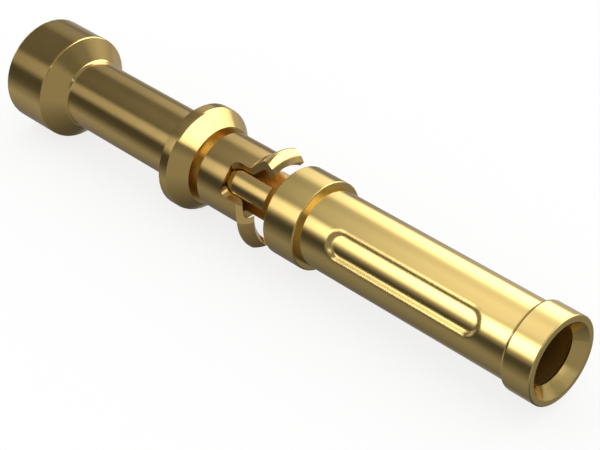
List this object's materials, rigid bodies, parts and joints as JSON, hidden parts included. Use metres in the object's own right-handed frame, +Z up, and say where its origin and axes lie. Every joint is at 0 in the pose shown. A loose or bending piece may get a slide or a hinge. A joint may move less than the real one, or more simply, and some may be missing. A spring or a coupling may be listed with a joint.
{
  "type": "crimp socket contact",
  "caption": "Slim round socket contact with a crimp barrel and wire funnel at the rear, a flange, a sprung locking clip with bowed tines, and a closed front sleeve that guides a round pin.",
  "frame": {"origin": "on the contact's axis, halfway between the rear end and the mating mouth", "axes": "+X along the axis from the wire end to the mating mouth, +Z up as the contact lies in the picture"},
  "size_m": [0.0246, 0.004, 0.004],
  "materials": {
    "gold_body": "polished gold plate with fine turning marks",
    "gold_clip": "polished gold plate on spring sheet",
    "gold_sleeve": "bright polished gold plate"
  },
  "bodies": {
    "root": {"contact_body": "gold_body", "locking_clip": "gold_clip", "hood_sleeve": "gold_sleeve"}
  },
  "joints": []
}
